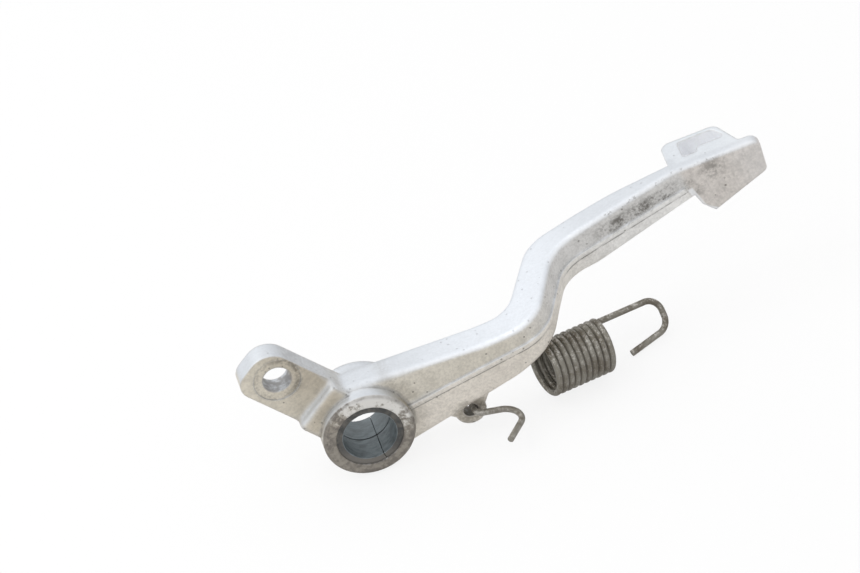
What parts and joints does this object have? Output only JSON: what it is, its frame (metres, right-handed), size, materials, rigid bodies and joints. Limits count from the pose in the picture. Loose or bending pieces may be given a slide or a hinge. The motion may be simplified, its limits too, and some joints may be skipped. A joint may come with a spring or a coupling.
{
  "type": "motorbike rear brake pedal",
  "caption": "Cast aluminium motorbike brake pedal: bushed pivot boss, clevis ear, joggled arm with a hollow toe pad, and a coil return spring hooked into a lug under the arm.",
  "frame": {"origin": "on the pivot axis, half way along the pivot boss", "axes": "+X from the pivot along the arm to the toe pad, +Y along the pivot axis, +Z square to both, up out of the casting's parting plane on the side of the clevis ear"},
  "size_m": [0.1633, 0.0602, 0.0708],
  "materials": {
    "casting": "worn satin cast aluminium with pits and brown-grey dirt",
    "bush": "dark zinc-grey steel, bore streaked by wear",
    "spring": "dull dark grey-brown steel with worn bright patches"
  },
  "bodies": {
    "lever": {"pedal": "casting", "bush_outer": "bush", "bush_inner": "bush"},
    "spring": {"return_spring": "spring"}
  },
  "joints": [
    {"name": "spring_swing", "type": "hinge", "parent": "lever", "child": "spring", "pos_m": [0.02908, 0, -0.01406], "axis": [0, 1, 0], "range_deg": [0, 110]}
  ]
}
